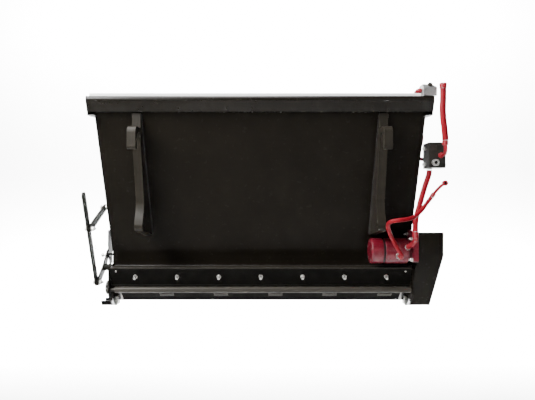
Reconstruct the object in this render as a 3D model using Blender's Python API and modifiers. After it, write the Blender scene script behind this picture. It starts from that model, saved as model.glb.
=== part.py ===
"""Tailgate salt spreader: undercut hopper with rotor, metering gate, linkage and hydraulic chain drive.

X runs along the hopper, Y away from the truck, Z up. The origin lies midway between the hook seats.
"""
import math

import bmesh
import bpy
from mathutils import Matrix, Vector

for old in list(bpy.data.objects):
    bpy.data.objects.remove(old)
spreader = bpy.data.collections.new("tailgate_salt_spreader")
tools = bpy.data.collections.new("cutters")
tools.hide_render = True
bpy.context.scene.collection.children.link(spreader)
bpy.context.scene.collection.children.link(tools)

# Driving dimensions, in metres.
HALF = 0.729            # hopper half width over the end plates
SHEET = 0.004           # wall sheet
END = 0.006             # end plate
GAP = 0.0003            # between pieces that touch
RIM_HALF = 0.753        # rim half width
RIM_TOP, RIM_LOW, RIM_OUT = 0.1915, 0.124, 0.024
SIDE_LOW = 0.1115        # the side rims hang a little lower
ROTOR = (0.350, -0.696)  # every pair is (Y, Z)
FLAP = (0.250, -0.691)
GATE = (0.322, -0.5915)
LEVER_PIN = (0.2314, -0.6513)
STRAP_PIN = (0.120, -0.390)
STRAP_ANCHOR = (0.334, -0.297)
MOTOR = (0.220, -0.5008)
SEAT_R = 0.033          # hook seat, for a bar of up to 60 mm
PLATE_DIR = Vector((0, 0.3898, -0.9209))   # down the wiper plate
PLATE_IN = Vector((0, 0.9209, 0.3898))     # into the trough
PLATE_TOP = Vector((0, 0.2233, -0.5873))
BOLT_PITCH, BOLTS = 0.200, 7

BLACK, ZINC, MAROON, RED, GREY, RUBBER, STEEL = (
    (0.018, 0.016, 0.013), (0.62, 0.62, 0.60), (0.13, 0.008, 0.018), (0.30, 0.008, 0.025),
    (0.36, 0.36, 0.35), (0.012, 0.012, 0.012), (0.30, 0.29, 0.28))


def front(z):
    """Y of the front wall's outer face at height z."""
    return 0.0868 - 0.4263 * z


def rear(z):
    """Y of the rear wall's inner face at height z."""
    return 0.600 + 0.32 * z


def material(name, colour):
    made = bpy.data.materials.new(name)
    made.use_nodes = True
    shader = made.node_tree.nodes["Principled BSDF"]
    shader.inputs["Base Color"].default_value = (*colour, 1)
    shader.inputs["Roughness"].default_value = 0.4
    return made


def add(name, mesh, colour, place=(0, 0, 0), turn=None, group=spreader):
    obj = bpy.data.objects.new(name, mesh)
    obj.location = place
    if turn is not None:
        obj.rotation_euler = turn
    group.objects.link(obj)
    if group is tools:
        obj.hide_render = True
        obj.display_type = "WIRE"
    else:
        mesh.materials.clear()
        mesh.materials.append(material(name, colour))
    return obj


def meshed(obj):
    """The object's evaluated shape as a closed mesh; the object itself is removed."""
    bpy.context.view_layer.update()
    graph = bpy.context.evaluated_depsgraph_get()
    mesh = bpy.data.meshes.new_from_object(obj.evaluated_get(graph))
    bm = bmesh.new()
    bm.from_mesh(mesh)
    bmesh.ops.remove_doubles(bm, verts=bm.verts, dist=0.00001)
    bmesh.ops.recalc_face_normals(bm, faces=bm.faces)
    bm.to_mesh(mesh)
    bm.free()
    bpy.data.objects.remove(obj)
    return mesh


def arc(centre, radius, start, stop, steps=6):
    """Points of an arc, its angles in degrees from +Y towards +Z."""
    angles = [math.radians(start + (stop - start) * i / steps) for i in range(steps + 1)]
    return [(centre[0] + radius * math.cos(a), centre[1] + radius * math.sin(a)) for a in angles]


def circle(centre, radius, steps=20):
    return arc(centre, radius, 0, 360, steps)[:-1]


def plate(name, loops, x0, x1, colour=BLACK, pivot=(0, 0), group=spreader):
    """A flat outline in the YZ plane, with its holes, thick from x0 to x1, origin on the pivot."""
    curve = bpy.data.curves.new(name, "CURVE")
    curve.dimensions = "2D"
    curve.fill_mode = "BOTH"
    curve.extrude = abs(x1 - x0) / 2
    for loop in loops:
        spline = curve.splines.new("POLY")
        spline.points.add(len(loop) - 1)
        spline.use_cyclic_u = True
        for point, (y, z) in zip(spline.points, loop):
            point.co = (y - pivot[0], z - pivot[1], 0, 1)
    flat = bpy.data.objects.new(name, curve)
    spreader.objects.link(flat)
    place = ((x0 + x1) / 2, pivot[0], pivot[1])
    return add(name, meshed(flat), colour, place, (math.pi / 2, 0, math.pi / 2), group)


def turned(name, profile, place, turn=(0, math.pi / 2, 0), colour=STEEL, hollow=False, steps=24):
    """A shape turned round its own Z axis from (radius, height) points running top to bottom."""
    mesh = bpy.data.meshes.new(name)
    edges = [(i, i + 1) for i in range(len(profile) - 1)]
    if hollow:
        edges.append((len(profile) - 1, 0))
    mesh.from_pydata([(r, 0, h) for r, h in profile], edges, [])
    blank = bpy.data.objects.new(name, mesh)
    spreader.objects.link(blank)
    screw = blank.modifiers.new("turn", "SCREW")
    screw.steps = screw.render_steps = steps
    screw.use_merge_vertices = True
    screw.merge_threshold = 0.00001
    return add(name, meshed(blank), colour, place, turn)


def pipe(name, radius, bore, x0, x1, centre, colour=BLACK, steps=24):
    return plate(name, [circle(centre, radius, steps), circle(centre, bore, steps)], x0, x1, colour, centre)


def boolean(obj, other, operation):
    modifier = obj.modifiers.new(operation.lower(), "BOOLEAN")
    modifier.operation = operation
    modifier.solver = "EXACT"
    modifier.object = other


def join(obj, other):
    other.hide_render = True
    other.display_type = "WIRE"
    spreader.objects.unlink(other)
    tools.objects.link(other)
    boolean(obj, other, "UNION")


def rings(bm, sections, matrix, sides=12):
    """A closed bolt-like body of (height, radius, is_hex) sections, set in place by a matrix."""
    loops = []
    for height, radius, is_hex in sections:
        loop = []
        for i in range(sides):
            angle = 2 * math.pi * i / sides
            reach = radius * (math.cos(math.pi / 6) if is_hex and i % 2 else 1)
            loop.append(bm.verts.new(matrix @ Vector((reach * math.cos(angle), reach * math.sin(angle),
                                                      height))))
        loops.append(loop)
    for low, high in zip(loops, loops[1:]):
        for i in range(sides):
            bm.faces.new((low[i], low[(i + 1) % sides], high[(i + 1) % sides], high[i]))
    bm.faces.new(loops[0][::-1])
    bm.faces.new(loops[-1])


def bolts(name, sections, matrices, colour=ZINC, group=spreader, place=(0, 0, 0)):
    mesh = bpy.data.meshes.new(name)
    bm = bmesh.new()
    for matrix in matrices:
        rings(bm, sections, matrix)
    bmesh.ops.recalc_face_normals(bm, faces=bm.faces)
    bm.to_mesh(mesh)
    bm.free()
    return add(name, mesh, colour, place, group=group)


def along(direction, place):
    """A matrix that stands local Z along a direction at a place."""
    return Matrix.Translation(place) @ Vector(direction).to_track_quat("Z", "Y").to_matrix().to_4x4()


def smooth(points, spacing):
    """Points at an even spacing along a Catmull-Rom curve through the given ones."""
    ends = [2 * Vector(points[0]) - Vector(points[1])] + [Vector(p) for p in points]
    ends.append(2 * ends[-1] - ends[-2])
    fine = []
    for a, b, c, d in zip(ends, ends[1:], ends[2:], ends[3:]):
        for i in range(24):
            t = i / 24
            fine.append(0.5 * (2 * b + (c - a) * t + (2 * a - 5 * b + 4 * c - d) * t ** 2
                               + (3 * b - 3 * c + d - a) * t ** 3))
    fine.append(ends[-2])
    kept = [fine[0]]
    for point in fine[1:-1]:
        if (point - kept[-1]).length >= spacing and (point - fine[-1]).length >= spacing / 2:
            kept.append(point)
    return kept + [fine[-1]]


def hose(name, points, diameter, colour=RED, spacing=2.2, sides=3):
    route = smooth(points, spacing * diameter / 2)
    curve = bpy.data.curves.new(name, "CURVE")
    curve.dimensions = "3D"
    curve.bevel_depth = diameter / 2
    curve.bevel_resolution = sides
    curve.use_fill_caps = True
    spline = curve.splines.new("POLY")
    spline.points.add(len(route) - 1)
    for point, where in zip(spline.points, route):
        point.co = (*where, 1)
    tube = bpy.data.objects.new(name, curve)
    spreader.objects.link(tube)
    return add(name, meshed(tube), colour)


# Hopper walls: the front one slopes back on its way down and ends in an upright band.
band = 0.3077
plate("front_wall", [[(front(0.150), 0.150), (band, -0.5182), (band, -0.5817), (band + SHEET, -0.5817),
                      (band + SHEET, -0.5173), (front(0.150) + 0.00435, 0.150)]], -HALF, HALF)
plate("rear_wall", [[(rear(0.150) + 0.0042, 0.150), (rear(0.150), 0.150), (rear(-0.558), -0.558),
                     (rear(-0.558) + 0.0042, -0.558)]], -HALF, HALF)

# End plates carry the rotor, the gate shaft, the flap rod and the linkage.
end_outline = [(front(0.165) + 0.0047, 0.165), (0.3121, -0.5172), (0.3121, -0.5875), (0.2300, -0.5875),
               (0.2300, -0.715), (0.260, -0.748), (0.290, -0.769), (0.350, -0.7875), (0.4200, -0.7875),
               (0.4200, -0.5600),
               (rear(0.165) - GAP, 0.165)]
for side, x0 in (("left", -HALF), ("right", HALF - END)):
    bores = [circle(ROTOR, 0.0128), circle(GATE, 0.0083), circle(FLAP, 0.0083)]
    if side == "left":
        bores.append(circle(STRAP_ANCHOR, 0.0063))
    plate(side + "_end_plate", [end_outline] + bores, x0, x0 + END)

# The formed rim: a hollow section along each side, closed at the ends of the front and rear lengths.
INNER = 0.045           # how far the rim reaches in over the wall
BEND = 0.026
FOLD = 0.003


def rim_section(outward, low=RIM_LOW):
    """Closed (outward, height) outline of the rim sheet."""
    top = RIM_TOP
    centre = (RIM_OUT - BEND, top - BEND)
    outer = arc(centre, BEND, 0, 90)
    inner = arc(centre, BEND - FOLD, 90, 0)
    points = [(0.0006, low), (RIM_OUT, low)] + outer + [(-INNER, top), (-INNER, top - 0.014)]
    points += [(FOLD - INNER, top - 0.014), (FOLD - INNER, top - FOLD)] + inner
    points += [(RIM_OUT - FOLD, low + FOLD), (0.0006, low + FOLD)]
    return [outward(u, z) for u, z in points]


def rim_cap(outward, back):
    centre = (RIM_OUT - BEND, RIM_TOP - BEND)
    proud = 0.0003
    points = [outward(u, z) for u, z in [(RIM_OUT + proud, SIDE_LOW)] + arc(centre, BEND + proud, 0, 90)]
    return points + [(back, RIM_TOP + proud), (back, SIDE_LOW)]


def front_out(u, z):
    return front(z) - u, z


def rear_out(u, z):
    return rear(z) + 0.0042 + u, z


for side, outward, u_back in (("front", front_out, 0.0565), ("rear", rear_out, 0.6160)):
    rim = plate("rim_" + side, [rim_section(outward)], 0.0005 - RIM_HALF, RIM_HALF - 0.0005)
    for end in (-1, 1):
        x0, x1 = sorted((end * RIM_HALF, end * (RIM_HALF - FOLD)))
        join(rim, plate(f"rim_{side}_cap_{end + 2}", [rim_cap(outward, u_back)], x0, x1))
for side, sign in (("left", -1), ("right", 1)):
    section = rim_section(lambda u, z: (HALF + u, z), SIDE_LOW)
    rim = plate("rim_" + side, [section], -0.2792, 0.2792)
    # The section is drawn in YZ and stood along Y: its first axis becomes the outward X.
    rim.rotation_euler = (math.pi / 2, 0, 0) if sign > 0 else (math.pi / 2, 0, math.pi)
    rim.location = (0, 0.33625, 0)

# Hanger brackets: a downward-opening hook above, a pin eye in the rounded lobe below.
EYE = (0.0895, -0.3755)
back = 0.0006
hanger = [(front(0.1215) - back, 0.1215), (0.028, 0.1215), (0.029, 0.0550)]
hanger += arc((-0.031, 0.0250), 0.030, 90, 180) + arc((-0.047, -0.031), 0.014, 180, 360, 8)
hanger += arc((0, 0), SEAT_R, 180, 0, 12) + [(0.0355, -0.02), (0.092, -0.26), (0.0925, -0.285),
                                             (0.086, -0.315),
                                            (0.0725, -0.340)]
hanger += arc(EYE, 0.0265, 150, 270, 8) + [(0.205, -0.418), (front(-0.43) - back, -0.430)]
pocket = [(0.052, 0.020), (front(0.02) + 0.01, 0.020), (front(-0.39) + 0.01, -0.390), (0.130, -0.390),
          (0.112, -0.345), (0.1035, -0.27), (0.052, -0.045)]
for side, sign in (("left", -1), ("right", 1)):
    x0, x1 = sorted((sign * 0.524, sign * 0.561))
    bracket = plate(side + "_hanger_bracket", [hanger, circle(EYE, 0.0115, 16)], x0, x1)
    boolean(bracket, plate(side + "_hanger_pocket", [pocket], x0 + 0.006, x1 - 0.006, group=tools),
            "DIFFERENCE")

# Trough front: ledge, bolted wiper plate with its rubber, and the welded stud strip behind them.
plate("trough_ledge", [[(0.2233, -0.5870), (0.3010, -0.5870), (0.3010, -0.6020), (0.3060, -0.6020),
                        (0.3060, -0.5870), (0.3110, -0.5870), (0.3110, -0.5820), (0.2233, -0.5820)]],
                        -0.7195, 0.7195)


def on_plate(down, deep):
    point = PLATE_TOP + PLATE_DIR * down + PLATE_IN * deep
    return point.y, point.z


stud_holes = [along(PLATE_IN, (BOLT_PITCH * (i - BOLTS // 2), *on_plate(0.0413, 0))) for i in range(BOLTS)]
holes = bolts("stud_holes", [(-0.02, 0.0067, False), (0.03, 0.0067, False)], stud_holes, group=tools)
wiper = plate("wiper_plate", [[(0.2600, -0.5873), (0.2233, -0.5873), on_plate(0.0857, 0),
                               on_plate(0.0880, -0.006),
                               on_plate(0.0912, -0.006), on_plate(0.0890, 0.004), on_plate(0.0043, 0.004),
                               (0.2600, -0.5915)]], -0.7195, 0.7195)
rubber = plate("wiper_rubber", [[on_plate(0.012, 0.0043), on_plate(0.100, 0.0043), on_plate(0.100, 0.0093),
                                 on_plate(0.012, 0.0093)]], -0.7180, 0.7180, RUBBER)
for sheet in (wiper, rubber):
    boolean(sheet, holes, "DIFFERENCE")
strip = plate("wiper_stud_strip", [[on_plate(0.026, 0.0096), on_plate(0.056, 0.0096),
                                    on_plate(0.056, 0.0146),
                                    on_plate(0.026, 0.0146)]], -0.690, 0.690, ZINC)
studs = bolts("wiper_studs", [(-0.0235, 0.0050, False), (-0.0225, 0.0060, False), (-0.0140, 0.0060, False),
                              (-0.0138, 0.0085, False), (-0.0125, 0.0109, True), (-0.0030, 0.0109, True),
                              (-0.0029, 0.0120, False), (-0.0004, 0.0120, False), (-0.0003, 0.0060, False),
                              (0.0120, 0.0060, False)], stud_holes)
join(strip, studs)

# Trough rear and outlet.
plate("trough_rear_plate", [[(0.4203, -0.5583), (0.4203, -0.720), (0.385, -0.765), (0.388, -0.7675),
                             (0.4243, -0.7215), (0.4243, -0.5625)]], -0.7225, 0.7225)

# Clean-out flap on its hinge tube, the rod through it and the two adjusters that hold it up.
clean_out = pipe("clean_out_flap", 0.015, 0.0085, -0.7000, 0.7190, FLAP)
join(clean_out, plate("flap_panel", [[(0.2590, -0.7000), (0.3010, -0.7400), (0.2990, -0.7480),
                                      (0.2955, -0.7455),
                                      (0.2968, -0.7408), (0.2555, -0.7030)]], -0.674, 0.674))
turned("flap_hinge_rod", [(0, 0.7285), (0.0070, 0.7285), (0.0080, 0.7275), (0.0080, -0.7450),
                          (0.0070, -0.7460),
                          (0, -0.7460)], (0, *FLAP), colour=ZINC, steps=16)
for side, x in (("left", -0.7077), ("right", 0.7077)):
    bolts(side + "_flap_adjuster", [(-0.022, 0.0060, False), (-0.012, 0.0060, False),
                                    (-0.0119, 0.0098, True),
                                    (-0.002, 0.0098, True), (-0.0019, 0.0130, False), (0.003, 0.0130, False),
                                    (0.0031, 0.0098, True), (0.013, 0.0098, True), (0.0131, 0.0060, False),
                                    (0.020, 0.0060, False)], [Matrix()], place=(x, 0.290, -0.752))

# Foot outside the left end plate.
plate("left_foot", [[(0.338, -0.761), (0.357, -0.7875), (0.420, -0.7875), (0.420, -0.761), (0.415, -0.761),
                     (0.415, -0.7825), (0.3596, -0.7825), (0.3442, -0.761)]], -0.798, -0.7293)

# Rotor: shaft, bladed tube and the flange bearings.
turned("rotor_shaft", [(0, 0.778), (0.0125, 0.778), (0.0125, -0.762), (0, -0.762)], (0, *ROTOR), steps=24)
blades = []
for quarter in range(4):
    for y, z in [(0.060, -0.0025), (0.060, 0.0025), (0.0210, 0.0025), (0.0150, 0.0150)]:
        turn = Matrix.Rotation(quarter * math.pi / 2, 2) @ Vector((y, z))
        blades.append((ROTOR[0] + turn.x, ROTOR[1] + turn.y))
plate("rotor_paddles", [blades, circle(ROTOR, 0.0128)], -0.700, 0.700, pivot=ROTOR)
turned("left_bearing", [(0, 0.041), (0.0325, 0.041), (0.0355, 0.038), (0.0355, 0.008), (0.0450, 0.008),
                        (0.0450, 0),
                        (0.0128, 0), (0.0128, 0.036), (0, 0.036)], (-HALF - GAP, *ROTOR),
                        (0, -math.pi / 2, 0))
turned("right_bearing", [(0.0128, 0.016), (0.0300, 0.016), (0.0330, 0.013), (0.0330, 0.006), (0.0420, 0.006),
                         (0.0420, 0), (0.0128, 0)], (HALF + GAP, *ROTOR), hollow=True)

# Metering gate: shaft and plate swing together; the lever drives them from outside.
turned("gate_shaft", [(0, 0.7285), (0.0080, 0.7285), (0.0080, -0.7850), (0, -0.7850)], (0, *GATE), steps=16)
hub = arc(GATE, 0.0115, 15, 345, 16) + [(GATE[0] + 0.075, GATE[1] - 0.0025),
                                        (GATE[0] + 0.075, GATE[1] + 0.0025)]
plate("gate_plate", [hub, circle(GATE, 0.0083, 16)], -0.7150, 0.7150, pivot=GATE)


def strap_outline(a, b, radius_a, radius_b):
    """A bar with round ends about two centres."""
    lean = math.degrees(math.atan2(b[1] - a[1], b[0] - a[0]))
    return arc(a, radius_a, lean + 90, lean + 270, 8) + arc(b, radius_b, lean - 90, lean + 90, 8)


def between(a, b, share):
    return a[0] + (b[0] - a[0]) * share, a[1] + (b[1] - a[1]) * share


LEVER_TIP = (0.382, -0.526)
LOCK_R = 0.82 * math.dist(GATE, LEVER_TIP)
HANDLE_TIP = (0.057, -0.2423)
lever = plate("gate_lever", [arc(LEVER_PIN, 0.017, 123, 303, 8) + arc(GATE, 0.020, 303, 312, 1)
                             + arc(LEVER_TIP, 0.015, 317, 497, 8) + arc(GATE, 0.020, 138, 123, 1),
                             circle(GATE, 0.0083, 16), circle(LEVER_PIN, 0.0063, 12),
                             circle(between(GATE, LEVER_TIP, 0.82), 0.0045, 12)], -0.779, -0.771, pivot=GATE)
join(lever, pipe("lever_boss", 0.0165, 0.0083, -0.7750, -0.7300, GATE, steps=16))
bar_holes = [circle(between(LEVER_PIN, HANDLE_TIP, share), 0.0055, 12) for share in (0.10, 0.20, 0.30,
                                                                                     0.45, 0.93)]
plate("handle_bar", [strap_outline(LEVER_PIN, HANDLE_TIP, 0.018, 0.018), circle(LEVER_PIN, 0.0063, 12),
                     circle(STRAP_PIN, 0.0063, 12)] + bar_holes, -0.7875, -0.7795, pivot=LEVER_PIN)
strap_holes = [circle(between(STRAP_ANCHOR, STRAP_PIN, share), 0.0050, 12) for share in (0.2, 0.4, 0.6, 0.8)]
plate("upper_strap", [strap_outline(STRAP_ANCHOR, STRAP_PIN, 0.0165, 0.0165),
                      circle(STRAP_ANCHOR, 0.0063, 12),
                      circle(STRAP_PIN, 0.0076, 12)] + strap_holes, -0.779, -0.771, pivot=STRAP_ANCHOR)
quadrant = plate("gate_quadrant", [arc(GATE, 0.062, 5, 80, 8) + [(0.360, -0.515), (0.360, -0.416),
                                                                 (0.364, -0.412),
                                                                 (0.418, -0.412), (0.422, -0.416),
                                                                 (0.422, -0.583)],
                                  arc(GATE, LOCK_R + 0.0048, 22, 51, 6)
                                  + arc(GATE, LOCK_R - 0.0048, 51, 22, 6)], -0.7690, -0.7640)
join(quadrant, plate("quadrant_web", [arc(GATE, 0.062, 58, 80, 4) + arc(GATE, 0.068, 80, 58, 4)], -0.7660,
                     -0.7293))
pivot_bolt = [(0.7980, 0.0090, True), (0.7900, 0.0109, True), (0.7882, 0.0109, True),
              (0.7880, 0.0060, False),
              (0.7705, 0.0060, False), (0.7703, 0.0109, True), (0.7580, 0.0109, True),
              (0.7578, 0.0060, False),
              (0.7500, 0.0060, False)]
outward = Matrix.Rotation(-math.pi / 2, 4, "Y")
for name, centre in (("lever_pivot_bolt", LEVER_PIN), ("strap_pivot_bolt", STRAP_PIN)):
    bolts(name, pivot_bolt, [outward], place=(0, *centre))
bolts("strap_anchor_bolt", [(0.7960, 0.0090, True), (0.7880, 0.0109, True), (0.7798, 0.0109, True),
                            (0.7796, 0.0060, False), (0.7706, 0.0060, False), (0.7704, 0.0130, False),
                            (0.7296, 0.0130, False), (0.7294, 0.0060, False), (0.7225, 0.0060, False),
                            (0.7223, 0.0109, True), (0.7140, 0.0109, True)], [outward],
      place=(0, *STRAP_ANCHOR))
lock = between(GATE, LEVER_TIP, 0.82)
bolts("lock_pin", [(0.8040, 0.0080, False), (0.8000, 0.0100, False), (0.7930, 0.0100, False),
                   (0.7928, 0.0042, False),
                   (0.7605, 0.0042, False), (0.7585, 0.0030, False)], [outward], place=(0, *lock))

# Orbit motor beside the chain casing.
turned("motor_end_cap", [(0, 0.058), (0.0560, 0.058), (0.0600, 0.054), (0.0600, 0), (0, 0)],
       (0.5740, *MOTOR), (0, -math.pi / 2, 0), MAROON, steps=32)
pipe("motor_ring", 0.0560, 0.0400, 0.5744, 0.5846, MOTOR, STEEL, 32)
turned("motor_housing", [(0, 0.1190), (0.0540, 0.1190), (0.0600, 0.1130), (0.0600, 0.0140),
                         (0.0490, 0.0110), (0.0490, 0), (0.0135, 0), (0.0135, 0.0600), (0, 0.0600)],
       (0.7040, *MOTOR), (0, -math.pi / 2, 0), MAROON, steps=32)
flange = [(0.150, -0.5480), (0.144, -0.5420), (0.144, -0.4090), (0.150, -0.4030), (0.2480, -0.4030),
          (0.2925, -0.5060), (0.2925, -0.5420), (0.2865, -0.5480)]
plate("motor_flange", [flange, circle(MOTOR, 0.0135)], 0.7043, 0.7290, MAROON)
turned("motor_shaft", [(0, 0.1450), (0.0130, 0.1450), (0.0130, 0), (0, 0)], (0.6450, *MOTOR))

# Chain drive inside its casing.


def sprocket(name, centre, teeth, pitch_r, x0, x1, bore):
    rim_points = []
    for i in range(teeth * 4):
        reach = pitch_r + (0.0035 if i % 4 in (1, 2) else -0.0030)
        angle = 2 * math.pi * i / (teeth * 4)
        rim_points.append((centre[0] + reach * math.cos(angle), centre[1] + reach * math.sin(angle)))
    return plate(name, [rim_points, circle(centre, bore)], x0, x1, STEEL, centre)


PITCH = 0.01588
drive_teeth, driven_teeth = 12, 13
drive_r = PITCH / (2 * math.sin(math.pi / drive_teeth))
driven_r = PITCH / (2 * math.sin(math.pi / driven_teeth))
sprocket("drive_sprocket", MOTOR, drive_teeth, drive_r, 0.7600, 0.7680, 0.0133)
sprocket("driven_sprocket", ROTOR, driven_teeth, driven_r, 0.7600, 0.7680, 0.0128)
lean = math.degrees(math.atan2(ROTOR[1] - MOTOR[1], ROTOR[0] - MOTOR[0]))


def chain_loop(grow):
    span = math.hypot(ROTOR[1] - MOTOR[1], ROTOR[0] - MOTOR[0])
    tilt = math.degrees(math.asin((driven_r - drive_r) / span))
    return (arc(MOTOR, drive_r + grow, lean + 90 + tilt, lean + 270 - tilt, 12)
            + arc(ROTOR, driven_r + grow, lean - 90 - tilt, lean + 90 + tilt, 14))


plate("drive_chain", [chain_loop(0.0105), chain_loop(0.0045)], 0.7560, 0.7720, STEEL)

# Casing: a flanged shell standing over the right end plate.
CASE = [(0.150, -0.4096), (0.150, -0.5208), (0.357, -0.7875), (0.420, -0.7875), (0.420, -0.620),
        (0.300, -0.425)]


def inset(points, amount):
    """The outline moved inwards by an amount; it runs clockwise or anticlockwise alike."""
    area = sum(a[0] * b[1] - b[0] * a[1] for a, b in zip(points, points[1:] + points[:1]))
    side = math.copysign(1, area)
    moved = []
    for a, b, c in zip(points[-1:] + points[:-1], points, points[1:] + points[:1]):
        first = Vector((b[0] - a[0], b[1] - a[1])).normalized()
        second = Vector((c[0] - b[0], c[1] - b[1])).normalized()
        normal = Vector((-first.y - second.y, first.x + second.x)) * side
        reach = amount / (normal.length_squared / 2)
        moved.append((b[0] + normal.x * reach, b[1] + normal.y * reach))
    return moved


plate("casing_back_plate", [CASE, circle(MOTOR, 0.0200), circle(ROTOR, 0.0425, 24)], HALF + GAP, 0.7343)
cover = plate("casing_cover", [CASE], 0.7347, 0.8450)
boolean(cover, plate("casing_inside", [inset(CASE, 0.004)], 0.7247, 0.8410, group=tools), "DIFFERENCE")

# Valve block with its silver port, and the flow valve on the rim.
BLOCK = [(0.046, -0.1186), (0.128, -0.1186), (0.133, -0.1136), (0.133, -0.0095), (0.128, -0.0045),
         (0.046, -0.0045), (0.041, -0.0095), (0.041, -0.1136)]
plate("valve_block", [BLOCK], 0.7450, 0.8180)
toward = (math.pi / 2, 0, 0)
turned("block_port", [(0, 0.020), (0.0120, 0.020), (0.0150, 0.017), (0.0150, 0), (0, 0)],
       (0.7700, 0.0407, -0.0955), toward, ZINC, steps=20)
valve_top, valve_corner = 0.2435, 0.7463
valve = plate("flow_valve_body", [[(-0.004, 0.1920), (0.060, 0.1920), (0.060, valve_top),
                                   (0.0115, valve_top),
                                   (-0.004, 0.228)]], 0.7063, 0.7650, GREY)
corner = plate("flow_valve_corner", [[(-0.02, valve_top), (0.08, valve_top), (0.08, valve_top + 0.03),
                                      (-0.02, valve_top + 0.03)]], valve_corner, valve_corner + 0.04,
                                      group=tools)
hinge = Matrix.Translation((valve_corner, 0, valve_top))
corner.matrix_basis = hinge @ Matrix.Rotation(math.radians(39.7), 4,
                                              "Y") @ hinge.inverted() @ corner.matrix_basis
boolean(valve, corner, "DIFFERENCE")
turned("flow_valve_knob", [(0, 0.0105), (0.0080, 0.0105), (0.0098, 0.0090), (0.0098, 0.0025),
                           (0.0060, 0.0020),
                           (0.0060, 0), (0, 0)], (0.7359, 0.00345, 0.23605), (math.pi / 4, 0, 0), GREY,
                           steps=20)

# Hoses and their fittings.
HOSE_A = [(0.7915, -0.030, -0.0045), (0.7905, -0.030, 0.020), (0.7855, -0.030, 0.062),
          (0.781, -0.030, 0.116),
          (0.782, -0.030, 0.175), (0.782, -0.030, 0.2156)]
hose("hose_a", HOSE_A, 0.0265)
hose("hose_a_elbow", [(0.7955, 0.0404, -0.0635), (0.7955, -0.004, -0.0635), (0.795, -0.022, -0.058),
                      (0.793, -0.030, -0.042), (0.7915, -0.030, -0.0260), (0.7915, -0.030, -0.0059)], 0.025,
     spacing=0.8)
hose("hose_a_end", [(0.782, -0.030, 0.2170), (0.782, -0.030, 0.2395)], 0.031, sides=4)
HOSE_B = [(0.7585, 0.085, -0.1252), (0.7585, 0.085, -0.1390), (0.7490, 0.082, -0.1680),
          (0.7340, 0.077, -0.2080),
          (0.7060, 0.060, -0.2900), (0.6880, 0.047, -0.3450), (0.6850, 0.044, -0.3780),
          (0.6850, 0.044, -0.3990)]
hose("hose_b", HOSE_B, 0.0245)
hose("hose_b_block_fitting", [(0.7585, 0.085, -0.1190), (0.7585, 0.085, -0.1232)], 0.028, ZINC, sides=4)
hose("hose_b_motor_fitting", [(0.6852, 0.044, -0.4004), (0.6862, 0.045, -0.418), (0.6870, 0.058, -0.440),
                              (0.6850, 0.090, -0.458), (0.6800, 0.128, -0.472), (0.6770, 0.152, -0.481)],
     0.024, spacing=0.8)
HOSE_C = [(0.638, 0.0965, -0.518), (0.6365, 0.084, -0.5155), (0.628, 0.070, -0.503), (0.604, 0.052, -0.467),
          (0.573, 0.022, -0.420), (0.548, -0.025, -0.374), (0.551, -0.058, -0.353), (0.582, -0.075, -0.345),
          (0.617, -0.07, -0.341), (0.651, -0.053, -0.332), (0.688, -0.028, -0.307), (0.72, -0.008, -0.273),
          (0.740, 0, -0.250)]
hose("hose_c", HOSE_C, 0.018)
hose("hose_c_motor_fitting", [(0.638, 0.1004, -0.518), (0.638, 0.1580, -0.518)], 0.022, sides=4)
hose("hose_c_swivel", [(0.7422, 0, -0.2474), (0.754, 0, -0.230), (0.775, 0, -0.207), (0.794, 0, -0.190)],
     0.021, spacing=0.8)
HOSE_D = [(0.6930, 0.0576, 0.2158), (0.6950, 0.0740, 0.2125), (0.7040, 0.1050, 0.2085),
          (0.7180, 0.1550, 0.2070), (0.7430, 0.1900, 0.2065), (0.7640, 0.2100, 0.1850),
          (0.7665, 0.2120, 0.1550), (0.7660, 0.2050, 0.1240), (0.7600, 0.1930, 0.0990),
          (0.7480, 0.1700, 0.0780), (0.7430, 0.1500, 0.0550), (0.7415, 0.1420, 0.0250),
          (0.7405, 0.1560, -0.0050), (0.7400, 0.1800, -0.0280), (0.7420, 0.2050, -0.0470),
          (0.7505, 0.2200, -0.0600), (0.7620, 0.2130, -0.0670), (0.7685, 0.1930, -0.0690),
          (0.7690, 0.1720, -0.0690), (0.7690, 0.1560, -0.0690)]
hose("hose_d", HOSE_D, 0.017)
hose("hose_d_valve_fitting", [(0.7058, 0.028, 0.2184), (0.6990, 0.028, 0.2184), (0.6945, 0.0300, 0.2182),
                              (0.6930, 0.0380, 0.2175), (0.6930, 0.0560, 0.2160)], 0.021, spacing=0.8)
hose("hose_d_block_fitting", [(0.7690, 0.1546, -0.0690), (0.7690, 0.1334, -0.0690)], 0.020, sides=4)
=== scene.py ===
import math

import bmesh
import bpy
from mathutils import Matrix, Vector


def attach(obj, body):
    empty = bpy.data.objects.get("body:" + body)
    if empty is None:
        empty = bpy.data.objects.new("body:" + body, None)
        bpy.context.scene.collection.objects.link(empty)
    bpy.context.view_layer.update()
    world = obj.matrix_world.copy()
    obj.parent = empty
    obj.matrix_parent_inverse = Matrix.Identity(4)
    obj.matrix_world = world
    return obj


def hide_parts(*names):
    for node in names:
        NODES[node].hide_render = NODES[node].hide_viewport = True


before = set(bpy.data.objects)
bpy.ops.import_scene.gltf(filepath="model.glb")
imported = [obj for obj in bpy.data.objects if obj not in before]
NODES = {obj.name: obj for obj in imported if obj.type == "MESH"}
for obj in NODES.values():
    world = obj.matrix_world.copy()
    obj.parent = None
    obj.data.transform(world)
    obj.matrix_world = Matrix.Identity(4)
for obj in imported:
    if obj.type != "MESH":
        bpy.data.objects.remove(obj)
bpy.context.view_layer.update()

QUARTER = math.pi / 2

# Directions of the hopper's own frame.
LEFT, RIGHT = Vector((-1, 0, 0)), Vector((1, 0, 0))
FORWARD, BACK = Vector((0, -1, 0)), Vector((0, 1, 0))
UP, DOWN = Vector((0, 0, 1)), Vector((0, 0, -1))

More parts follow.
